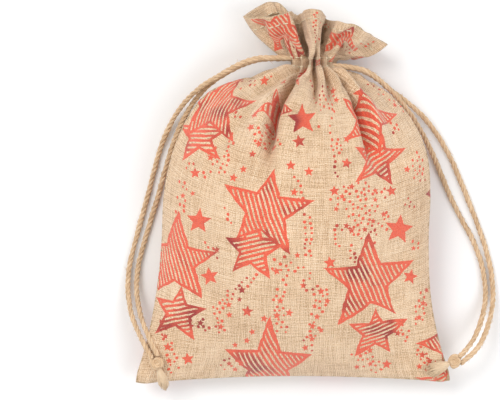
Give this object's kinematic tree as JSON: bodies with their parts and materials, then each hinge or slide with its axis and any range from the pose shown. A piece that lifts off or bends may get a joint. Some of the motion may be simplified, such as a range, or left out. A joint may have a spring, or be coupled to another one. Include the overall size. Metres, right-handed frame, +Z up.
{
  "type": "drawstring gift sack",
  "caption": "Filled cloth gift sack lying on its back, drawn shut at the neck by cords that end in knots and frayed tufts.",
  "frame": {"origin": "on the surface that the sack lies on, under the middle of the sack without its cords", "axes": "+Y from the bottom seam towards the neck, +Z up out of the front panel, +X to the right across it"},
  "size_m": [0.1559, 0.1601, 0.0434],
  "materials": {
    "printed_jute": "coarse plain weave with a red star print",
    "sewing_thread": "matt spun thread",
    "jute_cord": "twisted jute with loose fibres",
    "tissue": "crumpled tissue"
  },
  "bodies": {
    "sack": {"front_panel": "printed_jute", "back_panel": "printed_jute", "front_casing": "printed_jute", "back_casing": "printed_jute", "front_header": "printed_jute", "back_header": "printed_jute", "casing_thread": "sewing_thread", "hem_thread": "sewing_thread", "left_seam_thread": "sewing_thread", "right_seam_thread": "sewing_thread", "bottom_seam_thread": "sewing_thread", "tissue_filling": "tissue"},
    "left_cord": {"left_cord_loop": "jute_cord"},
    "left_tail": {"left_outer_tail": "jute_cord", "left_inner_tail": "jute_cord", "left_knot": "jute_cord", "left_tuft": "jute_cord"},
    "right_cord": {"right_cord_loop": "jute_cord"},
    "right_tail": {"right_outer_tail": "jute_cord", "right_inner_tail": "jute_cord", "right_knot": "jute_cord", "right_tuft": "jute_cord"}
  },
  "joints": [
    {"name": "left_cord_draw", "type": "slide", "parent": "sack", "child": "left_cord", "axis": [-1, 0, 0], "range_m": [0, 0.003]},
    {"name": "left_tail_swing", "type": "hinge", "parent": "left_cord", "child": "left_tail", "pos_m": [-0.03, 0.05, 0.013], "axis": [0, 0, -1], "range_deg": [0, 70]},
    {"name": "right_cord_draw", "type": "slide", "parent": "sack", "child": "right_cord", "axis": [1, 0, 0], "range_m": [0, 0.003]},
    {"name": "right_tail_swing", "type": "hinge", "parent": "right_cord", "child": "right_tail", "pos_m": [0.0405, 0.0438, 0.013], "axis": [0, 0, 1], "range_deg": [0, 70]}
  ]
}
